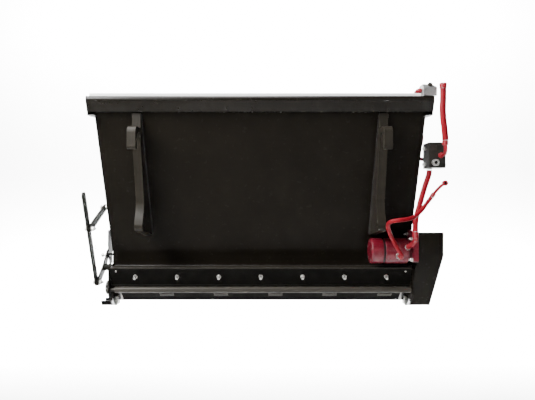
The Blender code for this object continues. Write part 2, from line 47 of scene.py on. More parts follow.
# Places that several pieces share: linkage and flap pivots as (y, z), the motor's lower port as (x, z),
# the rest as points or as distances along X, in metres from the origin.
MOTOR = Vector((0, 0.220, -0.5008))
ROTOR = Vector((0, 0.350, -0.696))
LEVER_PIN = (0.2314, -0.6513)
STRAP_PIN = (0.120, -0.390)
STRAP_ANCHOR = (0.334, -0.297)
FLAP_HINGE = (0.250, -0.691)
LOCK_PIN = Vector((0, 0.3712, -0.53779))
BLOCK_PORT = (0.7700, 0.0407, -0.0955)
LOWER_PORT = (0.638, -0.518)
SWIVEL = (0.8000, -0.0110, -0.1870)
FLOW_KNOB = (0.7359, 0.00345, 0.23605)
END_PLATE_FACE = 0.7293
CASING_FACE = 0.8450
FLANGE_FACE = 0.7040

# The sloping wiper plate: its top edge, and the ways down along it and in through it.
PLATE_TOP = Vector((0, 0.2233, -0.5873))
ALONG_PLATE = Vector((0, 0.3898, -0.9209))
THROUGH_PLATE = Vector((0, 0.9209, 0.3898))
WIPER_PITCH = 0.2


# ---------------------------------------------------------------- camera
def make_camera():
    data = bpy.data.cameras.new("camera")
    data.sensor_width = 36
    data.lens = 34.99065
    data.clip_end = 200
    camera = bpy.data.objects.new("camera", data)
    camera.location = (0.0324, -2.25, -0.26)
    camera.rotation_euler = (QUARTER, 0, 0)
    bpy.context.scene.collection.objects.link(camera)
    bpy.context.scene.camera = camera


make_camera()

# ---------------------------------------------------------------- materials
EDGE_REACH = 0.0016
BUMP_DEPTH = 0.001
COAT_ROUGHNESS = 0.12


def surface(name, base, rough, metallic=0.0, specular=0.5, scale=25.0, spread=0.2, grit=0.05, bump=0.03,
            edge_wear_and_highlight=None, edge_wear_and_highlight_share=0.5, coat=0.0, dust=None, stretch=(1, 1, 1)):
    """A Principled material with uneven colour and roughness, fine bump, and edges lightened both for wear
    and as a painted edge highlight.
    """
    made = bpy.data.materials.new(name)
    made.use_nodes = True
    tree = made.node_tree
    shader = tree.nodes["Principled BSDF"]
    shader.inputs["Metallic"].default_value = metallic
    shader.inputs["Specular IOR Level"].default_value = specular
    shader.inputs["Coat Weight"].default_value = coat
    shader.inputs["Coat Roughness"].default_value = COAT_ROUGHNESS

    def node(kind, **values):
        new = tree.nodes.new(kind)
        for key, value in values.items():
            setattr(new, key, value)
        return new

    def noise_at(size, detail):
        texture = node("ShaderNodeTexNoise")
        texture.inputs["Scale"].default_value = size
        texture.inputs["Detail"].default_value = detail
        tree.links.new(mapping.outputs["Vector"], texture.inputs["Vector"])
        return texture.outputs["Fac"]

    def mixed(factor, low, high):
        mix = node("ShaderNodeMix", data_type="RGBA")
        tree.links.new(factor, mix.inputs[0])
        for socket, value in ((mix.inputs[6], low), (mix.inputs[7], high)):
            if isinstance(value, tuple):
                socket.default_value = (*value, 1)
            else:
                tree.links.new(value, socket)
        return mix.outputs[2]

    def ranged(value, low, high, to_low, to_high):
        span = node("ShaderNodeMapRange")
        tree.links.new(value, span.inputs["Value"])
        for key, number in zip(("From Min", "From Max", "To Min", "To Max"), (low, high, to_low, to_high)):
            span.inputs[key].default_value = number
        return span.outputs["Result"]

    coords = node("ShaderNodeTexCoord")
    mapping = node("ShaderNodeMapping")
    mapping.inputs["Scale"].default_value = stretch
    tree.links.new(coords.outputs["Object"], mapping.inputs["Vector"])
    broad, fine, speck = noise_at(scale, 6), noise_at(scale * 9, 4), noise_at(scale * 40, 3)

    dark = tuple(c * (1 - spread) for c in base)
    light = tuple(min(1, c * (1 + spread)) for c in base)
    colour = mixed(ranged(broad, 0.3, 0.7, 0, 1), dark, light)
    if dust:
        colour = mixed(ranged(speck, 0.66, 0.76, 0, 0.5), colour, dust)

    # The bevelled normal leaves the true one only near an edge, which is where paint wears and where the
    # lighter edge colour is also a painted highlight.
    rounded = node("ShaderNodeBevel", samples=4)
    rounded.inputs["Radius"].default_value = EDGE_REACH
    if edge_wear_and_highlight:
        geometry = node("ShaderNodeNewGeometry")
        agree = node("ShaderNodeVectorMath", operation="DOT_PRODUCT")
        tree.links.new(rounded.outputs["Normal"], agree.inputs[0])
        tree.links.new(geometry.outputs["Normal"], agree.inputs[1])
        worn_and_lit_edge_mask = node("ShaderNodeMath", operation="MULTIPLY")
        tree.links.new(ranged(agree.outputs["Value"], 0.995, 0.90, 0, edge_wear_and_highlight_share), worn_and_lit_edge_mask.inputs[0])
        tree.links.new(ranged(fine, 0.35, 0.6, 0.2, 1), worn_and_lit_edge_mask.inputs[1])
        colour = mixed(worn_and_lit_edge_mask.outputs["Value"], colour, edge_wear_and_highlight)
    tree.links.new(colour, shader.inputs["Base Color"])
    roughness = ranged(fine, 0.3, 0.7, max(0.02, rough - grit), rough + grit)
    tree.links.new(roughness, shader.inputs["Roughness"])

    peel = node("ShaderNodeBump")
    peel.inputs["Strength"].default_value = bump
    peel.inputs["Distance"].default_value = BUMP_DEPTH
    tree.links.new(fine, peel.inputs["Height"])
    tree.links.new(rounded.outputs["Normal"], peel.inputs["Normal"])
    tree.links.new(peel.outputs["Normal"], shader.inputs["Normal"])
    return made


WARM_BLACK = (0.0074, 0.0061, 0.0043)
black = surface("black_powder_coat", WARM_BLACK, 0.25, specular=0.045, scale=6, spread=0.10, grit=0.03,
                bump=0.012, edge_wear_and_highlight=(0.035, 0.031, 0.025), edge_wear_and_highlight_share=0.4)
rim_paint = surface("black_rim_paint", WARM_BLACK, 0.25, specular=0.24, scale=8, spread=0.12, grit=0.03,
                    bump=0.012, edge_wear_and_highlight=(0.05, 0.045, 0.036), edge_wear_and_highlight_share=0.4)
bracket_paint = surface("bracket_paint", (0.0185, 0.0160, 0.0120), 0.32, specular=0.10, scale=30,
                        spread=0.16, grit=0.05, bump=0.03, edge_wear_and_highlight=(0.06, 0.053, 0.042), edge_wear_and_highlight_share=0.4,
                        stretch=(1, 1, 0.15))
dull_zinc = surface("dull_zinc", (0.20, 0.195, 0.18), 0.32, metallic=0.85, scale=60, spread=0.3, grit=0.1,
                    bump=0.08, edge_wear_and_highlight=(0.6, 0.6, 0.57), edge_wear_and_highlight_share=0.6)
# Satin black steel; its base is lighter than the black paint, as painted light that brightens the shaded
# ledge band and the other satin parts.
satin_lightened_black = surface("black_satin_steel", (0.0210, 0.0185, 0.0145), 0.34, specular=0.20, scale=14, spread=0.2,
                grit=0.06, bump=0.03, edge_wear_and_highlight=(0.07, 0.063, 0.052), edge_wear_and_highlight_share=0.35,
                dust=(0.026, 0.023, 0.018))
matte = surface("black_matte_plate", (0.0045, 0.0042, 0.0036), 0.50, specular=0.02, scale=20, spread=0.25,
                grit=0.08, bump=0.04, edge_wear_and_highlight=(0.06, 0.055, 0.045), edge_wear_and_highlight_share=0.6)
linkage = surface("linkage_grey_black", (0.014, 0.013, 0.011), 0.42, specular=0.03, scale=26, spread=0.55,
                  grit=0.1, bump=0.06, edge_wear_and_highlight=(0.16, 0.15, 0.12), edge_wear_and_highlight_share=0.8, dust=(0.06, 0.055, 0.042))
# The flap tube's base is lighter than the black paint: a painted highlight for its bright band.
tube_highlight_lightened = surface("tube_painted_highlight", (0.038, 0.034, 0.028), 0.34, metallic=0.1, specular=0.16, scale=18,
                     spread=0.10, grit=0.05, bump=0.02, edge_wear_and_highlight=(0.3, 0.28, 0.25), stretch=(0.2, 1, 1))
zinc = surface("zinc_plate", (0.50, 0.49, 0.46), 0.27, metallic=0.9, scale=60, spread=0.16, grit=0.09,
               bump=0.06, edge_wear_and_highlight=(0.85, 0.85, 0.83), edge_wear_and_highlight_share=0.6)
steel = surface("machined_steel", (0.32, 0.31, 0.30), 0.30, metallic=1.0, scale=40, spread=0.2, grit=0.1,
                bump=0.05, edge_wear_and_highlight=(0.6, 0.6, 0.58), stretch=(0.1, 1, 1))
maroon = surface("maroon_enamel", (0.115, 0.0048, 0.013), 0.30, specular=0.35, scale=30, spread=0.22,
                 grit=0.08, bump=0.12, edge_wear_and_highlight=(0.30, 0.03, 0.05), edge_wear_and_highlight_share=0.5, coat=0.25,
                 dust=(0.06, 0.005, 0.01))
hose_red = surface("red_hose_rubber", (0.20, 0.0040, 0.010), 0.36, specular=0.12, scale=70, spread=0.14,
                   grit=0.08, bump=0.10)
fitting_red = surface("red_fitting_paint", (0.24, 0.0065, 0.015), 0.28, specular=0.3, scale=60, spread=0.18,
                      grit=0.08, bump=0.08, edge_wear_and_highlight=(0.55, 0.12, 0.12), edge_wear_and_highlight_share=0.6)
valve_grey = surface("cast_aluminium", (0.24, 0.24, 0.235), 0.40, metallic=0.35, scale=90, spread=0.12,
                     grit=0.1, bump=0.16, edge_wear_and_highlight=(0.62, 0.62, 0.6))
rubber = surface("seal_rubber", (0.010, 0.010, 0.010), 0.62, specular=0.3, scale=50, spread=0.3, grit=0.1,
                 bump=0.15)
pale_seal = surface("pale_cover_seal", (0.93, 0.93, 0.91), 0.5, specular=0.3, scale=40, spread=0.05,
                    bump=0.08)
# Near-black for the discs that paint the shadow inside bores.
bore_shadow_paint = surface("port_shadow", (0.004, 0.004, 0.004), 0.6, specular=0.2, scale=50, spread=0.3)
block_paint = surface("valve_block_black", (0.017, 0.0155, 0.013), 0.32, specular=0.16, scale=30, spread=0.3,
                      grit=0.08, bump=0.06, edge_wear_and_highlight=(0.11, 0.10, 0.09), edge_wear_and_highlight_share=0.8)
weld = surface("weld_bead_black", (0.014, 0.0125, 0.010), 0.30, specular=0.45, scale=90, spread=0.3,
               bump=0.2)

# ---------------------------------------------------------------- making pieces
NODE_EDGE_ANGLE = 38
PIECE_EDGE_ANGLE = 32
FACET = math.pi / 3
THREAD_PITCH = 0.00175
NUT_CHAMFER = 0.0013
ELBOW_SIDES = 28
CURVE_STEPS = 24


def soften(obj, width, angle, weld_first):
    """Rounds the edges of a piece and keeps its flats flat."""
    obj.data.polygons.foreach_set("use_smooth", [True] * len(obj.data.polygons))
    if weld_first:
        weld_modifier = obj.modifiers.new("weld", "WELD")
        weld_modifier.merge_threshold = 0.00002
    bevel = obj.modifiers.new("bevel", "BEVEL")
    bevel.width = width
    bevel.segments = 2
    bevel.limit_method = "ANGLE"
    bevel.angle_limit = math.radians(angle)
    bevel.harden_normals = True
    flat = obj.modifiers.new("normals", "WEIGHTED_NORMAL")
    flat.keep_sharp = True


def dress(material, width, *names):
    """Gives CAD nodes their material and rounded edges of a width."""
    for name in names:
        node = NODES[name]
        if "custom_normal" in node.data.attributes:
            node.data.attributes.remove(node.data.attributes["custom_normal"])
        node.data.materials.clear()
        node.data.materials.append(material)
        soften(node, width, NODE_EDGE_ANGLE, True)


def finish_piece(obj, material, body, replaced):
    """Links a new piece to the scene, its body and the nodes that it stands for."""
    obj.data.materials.clear()
    obj.data.materials.append(material)
    bpy.context.scene.collection.objects.link(obj)
    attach(obj, body)
    if replaced:
        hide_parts(*replaced)
    return obj


def piece(name, shape, material, body="hopper", replaced=(), bevel=0):
    """Makes an object of a bmesh, with its edges rounded where a bevel is given."""
    mesh = bpy.data.meshes.new(name)
    bmesh.ops.recalc_face_normals(shape, faces=shape.faces)
    shape.to_mesh(mesh)
    shape.free()
    obj = bpy.data.objects.new(name, mesh)
    if bevel:
        soften(obj, bevel, PIECE_EDGE_ANGLE, False)
    return finish_piece(obj, material, body, replaced)


def stand(place, direction, turn=0):
    """A matrix standing local Z along a direction at a place, turned about it by an angle."""
    upright = Vector(direction).to_track_quat("Z", "Y").to_matrix().to_4x4()
    return Matrix.Translation(place) @ upright @ Matrix.Rotation(turn, 4, "Z")


def skin(shape, loops):
    """Closes a run of equal loops of vertices into a solid."""
    for low, high in zip(loops, loops[1:]):
        for i in range(len(low)):
            after = (i + 1) % len(low)
            shape.faces.new((low[i], low[after], high[after], high[i]))
    shape.faces.new(loops[0][::-1])
    shape.faces.new(loops[-1])


def ring_of(shape, matrix, height, reaches):
    """A loop of vertices at a height, one at each of the given reaches."""
    loop = []
    for i, reach in enumerate(reaches):
        angle = 2 * math.pi * i / len(reaches)
        place = Vector((reach * math.cos(angle), reach * math.sin(angle), height))
        loop.append(shape.verts.new(matrix @ place))
    return loop


def stack(shape, matrix, profile, sides=40):
    """A turned body from (radius, height) points."""
    skin(shape, [ring_of(shape, matrix, height, [radius] * sides) for radius, height in profile])


def disc(shape, matrix, radius, start, stop, sides=36):
    """A plain turned stretch, for washers, shanks and spigots."""
    stack(shape, matrix, [(radius, start), (radius, stop)], sides)


def threaded(shape, matrix, radius, start, stop):
    """A bolt end with its thread and a chamfered tip."""
    root = radius * 0.88
    profile = [(root, start)]
    for i in range(max(1, int((stop - start - 0.001) / THREAD_PITCH))):
        crest = start + (i + 0.35) * THREAD_PITCH
        profile += [(radius, crest), (root, crest + 0.6 * THREAD_PITCH)]
    profile += [(radius * 0.97, stop - 0.0008), (radius * 0.78, stop)]
    stack(shape, matrix, profile, sides=24)


def nut(shape, matrix, across, start, stop, washer=0.0):
    """A hexagon with chamfered corners, and a washer of that radius under it."""
    corner = across / 2 / math.cos(FACET / 2)
    turns = [2 * math.pi * i / 36 for i in range(36)]
    hexagon = [math.cos(FACET / 2) / math.cos((turn + FACET / 2) % FACET - FACET / 2) for turn in turns]
    profile = [(corner * 0.90, start), (corner, start + NUT_CHAMFER), (corner, stop - NUT_CHAMFER),
               (corner * 0.90, stop)]
    skin(shape, [ring_of(shape, matrix, height, [radius * share for share in hexagon])
                 for radius, height in profile])
    if washer:
        disc(shape, matrix, washer, start - 0.0026, start - 0.0001)


def box(shape, low, high):
    low, high = Vector(low), Vector(high)
    for vert in bmesh.ops.create_cube(shape, size=1)["verts"]:
        vert.co = Vector([(a + b) / 2 + c * (b - a) for a, b, c in zip(low, high, vert.co)])


def prism(shape, outline, low, high):
    """A (y, z) outline drawn out along X."""
    skin(shape, [[shape.verts.new((x, y, z)) for y, z in outline] for x in (low, high)])


def smooth_path(points, spacing):
    """Points at an even spacing along a Catmull-Rom curve through the given ones."""
    ends = [2 * Vector(points[0]) - Vector(points[1])] + [Vector(p) for p in points]
    ends.append(2 * ends[-1] - ends[-2])
    fine = []
    for a, b, c, d in zip(ends, ends[1:], ends[2:], ends[3:]):
        for i in range(CURVE_STEPS):
            t = i / CURVE_STEPS
            fine.append(0.5 * (2 * b + (c - a) * t + (2 * a - 5 * b + 4 * c - d) * t ** 2
                               + (3 * b - 3 * c + d - a) * t ** 3))
    fine.append(ends[-2])
    kept = [fine[0]]
    for point in fine[1:-1]:
        if (point - kept[-1]).length >= spacing and (point - fine[-1]).length >= spacing / 2:
            kept.append(point)
    return kept + [fine[-1]]


def wire(name, points, radius, material, body, spacing, replaced=(), ripple=0.0):
    """A round tube along a smooth path; ripple swells it like a weld bead."""
    route = smooth_path(points, spacing)
    curve = bpy.data.curves.new(name, "CURVE")
    curve.dimensions = "3D"
    curve.bevel_depth = radius
    curve.bevel_resolution = 6
    curve.use_fill_caps = True
    spline = curve.splines.new("POLY")
    spline.points.add(len(route) - 1)
    for i, (point, where) in enumerate(zip(spline.points, route)):
        point.co = (*where, 1)
        point.radius = 1 + ripple * (1 if i % 2 else -1)
    spline.use_smooth = True
    obj = bpy.data.objects.new(name, curve)
    return finish_piece(obj, material, body, replaced), route


def ferrule(shape, start, direction, radius, length):
    """A crimped sleeve with its rings, from the hose end outwards."""
    lead, tail, ring_step = 0.001, 0.002, 0.006
    rings = max(3, int(length / ring_step))
    step = (length - lead - tail) / rings
    profile = [(radius * 0.86, 0), (radius * 0.98, lead)]
    for i in range(rings):
        base = lead + step * i
        profile += [(radius, base + step * 0.2), (radius, base + step * 0.65),
                    (radius * 0.93, base + step * 0.85)]
    profile += [(radius, length - 0.75 * tail), (radius * 0.85, length)]
    stack(shape, stand(start, direction), profile, sides=36)


def elbow(shape, points, radius, spacing=0.003):
    """A solid bent tube."""
    route = smooth_path(points, spacing)
    loops = []
    side = None
    for i, point in enumerate(route):
        ahead = (route[min(i + 1, len(route) - 1)] - route[max(i - 1, 0)]).normalized()
        if side is None:
            side = ahead.orthogonal().normalized()
        side = (side - ahead * side.dot(ahead)).normalized()
        up = ahead.cross(side)
        loops.append([shape.verts.new(point + (side * math.cos(a) + up * math.sin(a)) * radius)
                      for a in (2 * math.pi * k / ELBOW_SIDES for k in range(ELBOW_SIDES))])
    skin(shape, loops)


def fitting(name, shape, replaced, material=fitting_red):
    return piece(name, shape, material, "hopper", replaced, bevel=0.0004)


# ---------------------------------------------------------------- hoses, along the routes of the CAD
# Diameter, far end, stiffness, lay, the piece on the far end, and the route.
HOSES = {
    "hose_a": (0.0265, "fitting", "stiff", "loose", "hose_a_ferrule",
               [(0.7915, -0.030, -0.0045), (0.7905, -0.030, 0.020), (0.7855, -0.030, 0.062),
                (0.781, -0.030, 0.116), (0.782, -0.030, 0.175), (0.782, -0.030, 0.2156)]),
    "hose_b": (0.0245, "object", "stiff", "taut", None,
               [(0.7585, 0.085, -0.1252), (0.7585, 0.085, -0.1390), (0.7490, 0.082, -0.1680),
                (0.7340, 0.077, -0.2080), (0.7060, 0.060, -0.2900), (0.6880, 0.047, -0.3450),
                (0.6850, 0.044, -0.3780), (0.6850, 0.044, -0.3990)]),
    "hose_c": (0.018, "fitting", "stiff", "loose", "hose_c_swivel_head",
               [(0.638, 0.0965, -0.518), (0.6365, 0.084, -0.5155), (0.628, 0.070, -0.503),
                (0.604, 0.052, -0.467), (0.573, 0.022, -0.420), (0.548, -0.025, -0.374),
                (0.551, -0.058, -0.353), (0.582, -0.075, -0.345), (0.617, -0.07, -0.341),
                (0.651, -0.053, -0.332), (0.688, -0.028, -0.307), (0.72, -0.008, -0.273),
                (0.740, 0, -0.250)]),
    "hose_d": (0.017, "object", "stiff", "taut", None,
               [(0.6930, 0.0576, 0.2158), (0.6950, 0.0740, 0.2125), (0.7040, 0.1050, 0.2085),
                (0.7180, 0.1550, 0.2070), (0.7430, 0.1900, 0.2065), (0.7640, 0.2100, 0.1850),
                (0.7665, 0.2120, 0.1550), (0.7660, 0.2050, 0.1240), (0.7600, 0.1930, 0.0990),
                (0.7480, 0.1700, 0.0780), (0.7430, 0.1500, 0.0550), (0.7415, 0.1420, 0.0250),
                (0.7405, 0.1560, -0.0050), (0.7400, 0.1800, -0.0280), (0.7420, 0.2050, -0.0470),
                (0.7505, 0.2200, -0.0600), (0.7620, 0.2130, -0.0670), (0.7685, 0.1930, -0.0690),
                (0.7690, 0.1720, -0.0690), (0.7690, 0.1560, -0.0690)]),
}


def make_hose_a_ends():
    """Elbow on the valve block's front, and the ferrule on the hose's open upper end."""
    shape = bmesh.new()
    nut(shape, stand((0.7955, 0.0404, -0.0635), FORWARD), 0.0225, 0.0, 0.0110)
    elbow(shape, [(0.7955, 0.030, -0.0635), (0.7955, 0.004, -0.0635), (0.795, -0.018, -0.0590),
                  (0.7935, -0.030, -0.042), (0.7920, -0.030, -0.024)], 0.0078)
    ferrule(shape, (0.7915, -0.030, -0.0060), DOWN, 0.0133, 0.020)
    fitting("hose_a_lower_elbow", shape, ("hose_a_elbow",))

    shape = bmesh.new()
    stack(shape, stand((0.782, -0.030, 0.2170), UP),
          [(0.0135, 0), (0.0152, 0.0008), (0.0152, 0.0040), (0.0143, 0.0052), (0.0143, 0.0085),
           (0.0156, 0.0100), (0.0158, 0.0195), (0.0140, 0.0222), (0.0100, 0.0222), (0.0096, 0.0120)],
          sides=44)
    fitting("hose_a_ferrule", shape, ("hose_a_end",))


def make_hose_b_ends():
    """Collar under the block, and the elbow into the motor's upper port with its hex."""
    shape = bmesh.new()
    nut(shape, stand((0.7585, 0.085, -0.1190), DOWN), 0.0250, 0.0, 0.0040)
    fitting("hose_b_upper_collar", shape, ("hose_b_block_fitting",), zinc)

    into_port = Vector((-0.003, 0.024, -0.009)).normalized()
    shape = bmesh.new()
    ferrule(shape, (0.6851, 0.044, -0.4004), (0.03, 0, -1), 0.0136, 0.030)
    elbow(shape, [(0.6862, 0.044, -0.426), (0.6868, 0.047, -0.434), (0.6868, 0.062, -0.4440),
                  (0.6850, 0.090, -0.458), (0.6810, 0.120, -0.470), (0.6790, 0.138, -0.4765)], 0.0108)
    nut(shape, stand((0.6812, 0.1180, -0.4680), into_port), 0.0215, 0.0, 0.0130)
    disc(shape, stand((0.6795, 0.1330, -0.4740), into_port), 0.0088, 0, 0.0200, sides=32)
    fitting("hose_b_motor_elbow", shape, ("hose_b_motor_fitting",))

    shape = bmesh.new()
    stack(shape, stand((0.6788, 0.1395, -0.4772), (-0.1, 1, -0.35)),
          [(0.0100, 0), (0.0142, 0.0004), (0.0148, 0.0020), (0.0148, 0.0070), (0.0138, 0.0086),
           (0.0100, 0.0090)], sides=6)
    piece("hose_b_port_hex", shape, zinc, bevel=0.0003)


def make_hose_c_ends():
    """Ferrule and nut at the motor's lower port, and the loose swivel end with a near-black disc in its bore
    as painted shadow.
    """
    x, z = LOWER_PORT
    shape = bmesh.new()
    ferrule(shape, (x, 0.0995, z), BACK, 0.0108, 0.024)
    disc(shape, stand((x, 0.122, z), BACK), 0.0075, 0, 0.016, sides=30)
    fitting("hose_c_port_ferrule", shape, ("hose_c_motor_fitting",))

    shape = bmesh.new()
    nut(shape, stand((x, 0.136, z), BACK), 0.0270, 0.0, 0.0110)
    disc(shape, stand((x, 0.147, z), BACK), 0.0125, 0, 0.011)
    piece("hose_c_port_nut", shape, zinc)

    shape = bmesh.new()
    ferrule(shape, (0.7418, 0, -0.2480), (0.0125, 0, 0.0185), 0.0103, 0.020)
    elbow(shape, [(0.752, 0, -0.233), (0.760, 0, -0.2235), (0.775, 0, -0.207), (0.792, 0, -0.1920)],
          0.0066)
    stack(shape, stand(SWIVEL, BACK),
          [(0.0055, 0.0080), (0.0055, 0.0006), (0.0075, 0), (0.0112, 0.0010), (0.0122, 0.0030),
           (0.0122, 0.0160), (0.0105, 0.0185)])
    fitting("hose_c_swivel_head", shape, ("hose_c_swivel",))

    # A near-black disc inside the swivel's bore: painted shadow.
    shape = bmesh.new()
    disc(shape, stand(SWIVEL, BACK), 0.0054, 0.0050, 0.0070, sides=30)
    piece("hose_c_swivel_bore_shadow", shape, bore_shadow_paint)


def make_hose_d_ends():
    """Elbow on the flow valve, and the ferrule behind the block."""
    shape = bmesh.new()
    nut(shape, stand((0.7060, 0.028, 0.2184), LEFT), 0.0190, 0.0, 0.0070)
    elbow(shape, [(0.7000, 0.028, 0.2184), (0.6960, 0.0290, 0.2184), (0.6932, 0.0330, 0.2182),
                  (0.6928, 0.042, 0.2172), (0.6930, 0.050, 0.2166)], 0.0104, spacing=0.0015)
    ferrule(shape, (0.6930, 0.0570, 0.2160), (0, -1, 0.05), 0.0108, 0.013)
    fitting("hose_d_valve_elbow", shape, ("hose_d_valve_fitting",))

    shape = bmesh.new()
    nut(shape, stand((0.7690, 0.1334, -0.0690), BACK), 0.0180, 0.0, 0.0080)
    ferrule(shape, (0.7690, 0.1546, -0.0690), FORWARD, 0.0099, 0.014)
    fitting("hose_d_block_end", shape, ("hose_d_block_fitting",))


def make_hoses():
    for name, (diameter, far_end, stiffness, lay, end_piece, points) in HOSES.items():
        hose, route = wire(name + "_rubber", points, diameter / 2, hose_red, "hopper", diameter * 0.4,
                           (name,))


make_hose_a_ends()
make_hose_b_ends()
make_hose_c_ends()
make_hose_d_ends()
make_hoses()


# ---------------------------------------------------------------- the CAD nodes' own materials
def dress_nodes():
    dress(black, 0.0008, "front_wall", "rear_wall", "left_end_plate", "right_end_plate", "trough_rear_plate",
          "gate_plate", "casing_back_plate")
    dress(rim_paint, 0.0010, "rim_front", "rim_rear", "rim_left", "rim_right")
    dress(black, 0.0012, "casing_cover")
    dress(bracket_paint, 0.0012, "left_hanger_bracket", "right_hanger_bracket")
    dress(satin_lightened_black, 0.0007, "trough_ledge", "flap_hinge_rod")
    dress(matte, 0.0007, "wiper_plate", "gate_quadrant", "left_foot")
    dress(tube_highlight_lightened, 0.0007, "clean_out_flap")
    dress(linkage, 0.0009, "gate_lever", "handle_bar", "upper_strap")
    dress(rubber, 0.0004, "wiper_rubber", "motor_ring")
    dress(steel, 0.0006, "rotor_shaft", "rotor_paddles", "right_bearing", "gate_shaft", "motor_shaft",
          "drive_sprocket", "driven_sprocket", "drive_chain")
    dress(block_paint, 0.0012, "valve_block")
    dress(valve_grey, 0.0018, "flow_valve_body")
    dress(maroon, 0.0025, "motor_flange")


def paint_flap_panel():
    """The flap's tube keeps its lighter material, whose base colour is a painted highlight, and the panel
    below it is painted.
    """
    tube_reach = 0.0158
    flap = NODES["clean_out_flap"]
    flap.data.materials.append(matte)
    for face in flap.data.polygons:
        if math.dist(face.center[1:], FLAP_HINGE) > tube_reach:
            face.material_index = 1


dress_nodes()
paint_flap_panel()


# ---------------------------------------------------------------- hopper, rim, trough
def on_plate(down, inward):
    """A (y, z) point of the wiper plate's section, down along it and in through it."""
    point = PLATE_TOP + ALONG_PLATE * down + THROUGH_PLATE * inward
    return point.y, point.z


def make_wiper_fasteners():
    """The stud strip behind the wiper plate, with its seven nuts, washers and threads."""
    row = PLATE_TOP + ALONG_PLATE * 0.0413
    shape, threads = bmesh.new(), bmesh.new()
    prism(shape, [on_plate(0.026, 0.0096), on_plate(0.056, 0.0096), on_plate(0.056, 0.0146),
                  on_plate(0.026, 0.0146)], -0.690, 0.690)
    for i in range(-3, 4):
        matrix = stand(row + RIGHT * WIPER_PITCH * i, -THROUGH_PLATE, 0.35 + 0.5 * i)
        nut(shape, matrix, 0.0165, 0.0031, 0.0112, washer=0.0102)
        disc(shape, matrix, 0.006, -0.0110, 0.0030, sides=20)
        stack(shape, matrix, [(0.0060, 0.0200), (0.0062, 0.0206), (0.0062, 0.0228), (0.0048, 0.0238)],
              sides=20)
        threaded(threads, matrix, 0.0058, 0.0110, 0.0202)
    piece("wiper_nuts_and_strip", shape, zinc, "hopper", ("wiper_stud_strip",))
    piece("wiper_stud_threads", threads, satin_lightened_black)


def make_ledge_screws():
    shape = bmesh.new()
    for x in (-0.689, 0.689):
        stack(shape, stand((x, 0.2275, -0.5990), -THROUGH_PLATE),
              [(0.0040, 0.0010), (0.0047, 0.0016), (0.0044, 0.0040), (0.0030, 0.0052), (0.0014, 0.0056)],
              sides=28)
    piece("ledge_end_screws", shape, zinc)


def make_casing_screws():
    shape = bmesh.new()
    for y, z in ((0.166, -0.4250), (0.166, -0.5120), (0.248, -0.6190), (0.338, -0.7350), (0.402, -0.7700),
                 (0.402, -0.6260), (0.340, -0.5200), (0.288, -0.4380)):
        matrix = stand((CASING_FACE, y, z), RIGHT, y * 40)
        disc(shape, matrix, 0.0080, 0.0001, 0.0014, sides=30)
        nut(shape, matrix, 0.010, 0.0016, 0.0058)
    piece("casing_screws", shape, zinc)


def make_rim_gussets():
    """Plates that close the corners under the rim's ends."""
    shape = bmesh.new()
    for sign in (-1, 1):
        for inner, (front, low), (back, high) in ((0.7296, (0.0500, 0.1118), (0.0530, 0.1500)),
                                                  (0.7200, (0.0015, 0.1082), (0.0530, 0.1112))):
            low_x, high_x = sorted((sign * inner, sign * 0.7496))
            box(shape, (low_x, front, low), (high_x, back, high))
    piece("rim_end_gussets", shape, matte, bevel=0.0004)


def make_cover_seal():
    """The pale cover seal along the front rim, stopping short of the flow valve."""
    shape = bmesh.new()
    prism(shape, [(0.0160, 0.1917), (0.0160, 0.2035), (0.0172, 0.2058), (0.0200, 0.2064), (0.0222, 0.2050),
                  (0.0230, 0.2020), (0.0230, 0.1917)], -0.7440, 0.7020)
    piece("rim_cover_seal", shape, pale_seal)


def front_wall_y(z):
    return 0.0868 - 0.4263 * z


def make_welds():
    """Weld beads along the brackets and the ledge."""
    for side, sign in (("left", -1), ("right", 1)):
        for edge, x in (("inner", sign * 0.5228), ("outer", sign * 0.5622)):
            points = [(x, front_wall_y(z) - 0.0008, z) for z in (0.118, 0.0, -0.14, -0.28, -0.425)]
            wire(f"{side}_bracket_weld_{edge}", points, 0.0026, weld, "hopper", 0.0042, ripple=0.16)
    wire("ledge_weld", [(x, 0.3070, -0.5812) for x in (-0.715, -0.3, 0.3, 0.715)], 0.0022, weld, "hopper",
         0.0050, ripple=0.15)


def make_flap_tabs():
    """Five hold-down tabs on the flap tube, with a rivet at each end."""
    tab_size = Vector((0.068, 0.020, 0.0022))
    rivet_offset = 0.030
    shape = bmesh.new()
    for centre in (-0.455, -0.193, 0.071, 0.333, 0.599):
        for x in (centre - rivet_offset, centre + rivet_offset):
            stack(shape, stand((x, 0.2590, -0.7090), (0, -0.70, -0.72)),
                  [(0.0034, -0.004), (0.0040, 0.0010), (0.0036, 0.0024), (0.0020, 0.0034)], sides=20)
        tab = stand((centre, 0.2700, -0.7170), (0, -0.69, -0.725))
        for vert in bmesh.ops.create_cube(shape, size=1)["verts"]:
            vert.co = tab @ (vert.co * tab_size + Vector((0, 0, 0.0012)))
    piece("flap_tabs", shape, satin_lightened_black, "flap", bevel=0.0006)


def make_flap_adjusters():
    """A bolt, two nuts and a collar at each end of the flap."""
    for side, sign in (("left", -1), ("right", 1)):
        shape = bmesh.new()
        matrix = stand((sign * 0.7077, 0.290, -0.752), UP, 0.4 * sign)
        threaded(shape, matrix, 0.0060, -0.0220, 0.0200)
        stack(shape, matrix, [(0.0125, -0.0020), (0.0129, -0.0012), (0.0129, 0.0022), (0.0125, 0.0030)])
        nut(shape, matrix, 0.0170, -0.0122, -0.0022)
        nut(shape, matrix, 0.0170, 0.0032, 0.0132)
        piece(side + "_adjuster", shape, dull_zinc, "hopper", (side + "_flap_adjuster",))


